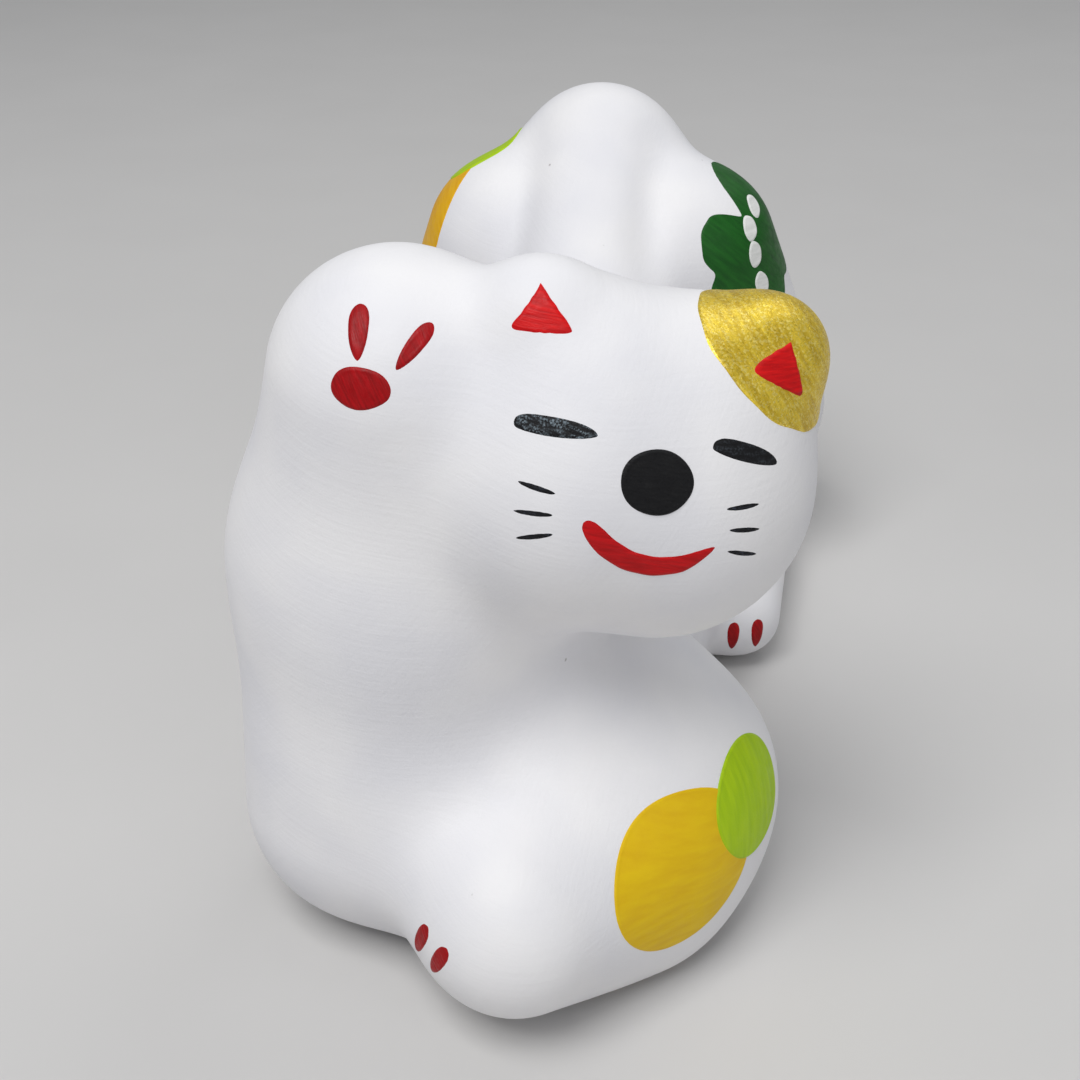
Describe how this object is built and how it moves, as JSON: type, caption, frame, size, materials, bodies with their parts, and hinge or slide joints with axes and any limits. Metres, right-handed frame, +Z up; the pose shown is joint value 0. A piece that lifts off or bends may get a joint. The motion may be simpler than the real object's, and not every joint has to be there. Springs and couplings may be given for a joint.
{
  "type": "beckoning cat figurine",
  "caption": "Small hollow clay cat lying low with its rump raised, right paw lifted by the ear, painted face and bright round spots, on a flat base.",
  "frame": {"origin": "on the plane of the flat base, under the cat's shoulders and between its two sides", "axes": "the cat faces -Y, its left side is at +X, and +Z is up from the flat base"},
  "size_m": [0.0816, 0.1589, 0.0928],
  "materials": {
    "white_ground": "matte white ground brushed over fired white clay, faintly grained",
    "black_paint": "matte black brushed paint, dry in places",
    "red_paint": "satin red brushed paint",
    "gold_paint": "metallic gold paint with visible flake",
    "yellow_paint": "satin opaque yellow paint",
    "lime_paint": "satin opaque lime green paint",
    "green_paint": "satin dark green paint"
  },
  "bodies": {
    "root": {"body_casting": "white_ground", "forearm_lime_spot": "lime_paint", "forearm_yellow_spot": "yellow_paint", "forepaw_toe_1": "red_paint", "forepaw_toe_2": "red_paint", "haunch_lime_spot": "lime_paint", "haunch_orange_spot": "yellow_paint", "left_ear_gold": "gold_paint", "left_ear_mark": "red_paint", "left_eye": "black_paint", "left_hind_toe_1": "red_paint", "left_hind_toe_2": "red_paint", "left_whisker_lower": "black_paint", "left_whisker_middle": "black_paint", "left_whisker_upper": "black_paint", "mouth": "red_paint", "nose": "black_paint", "pine_dot_1": "white_ground", "pine_dot_2": "white_ground", "pine_dot_3": "white_ground", "pine_dot_4": "white_ground", "pine_sprig": "green_paint", "raised_paw_pad": "red_paint", "raised_paw_toe_1": "red_paint", "raised_paw_toe_2": "red_paint", "right_ear_mark": "red_paint", "right_eye": "black_paint", "right_hind_toe_1": "red_paint", "right_hind_toe_2": "red_paint", "right_whisker_lower": "black_paint", "right_whisker_middle": "black_paint", "right_whisker_upper": "black_paint"}
  },
  "joints": []
}
